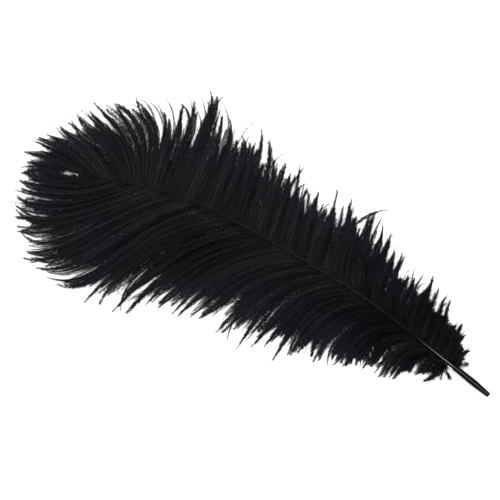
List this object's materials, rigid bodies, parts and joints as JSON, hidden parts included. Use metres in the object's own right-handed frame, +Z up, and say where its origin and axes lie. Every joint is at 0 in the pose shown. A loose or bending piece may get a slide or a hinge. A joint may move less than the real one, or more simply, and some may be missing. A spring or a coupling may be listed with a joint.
{
  "type": "ostrich feather",
  "caption": "Long soft ostrich plume dyed black: a tapering, gently arched shaft with drooping vanes of fluffy barbs; lies on a surface as decoration.",
  "frame": {"origin": "middle of the plume's footprint on the surface it lies on", "axes": "+X along the length towards the quill, +Z up from the surface, +Y towards the shorter vane"},
  "size_m": [0.4136, 0.178, 0.0134],
  "materials": {
    "shaft_keratin": "black-dyed keratin, satin, with a pale worn line",
    "barbs": "black-dyed barbs and barbules, soft and matte with a faint grey sheen"
  },
  "bodies": {
    "root": {"shaft": "shaft_keratin", "vane_left": "barbs", "vane_right": "barbs"}
  },
  "joints": []
}
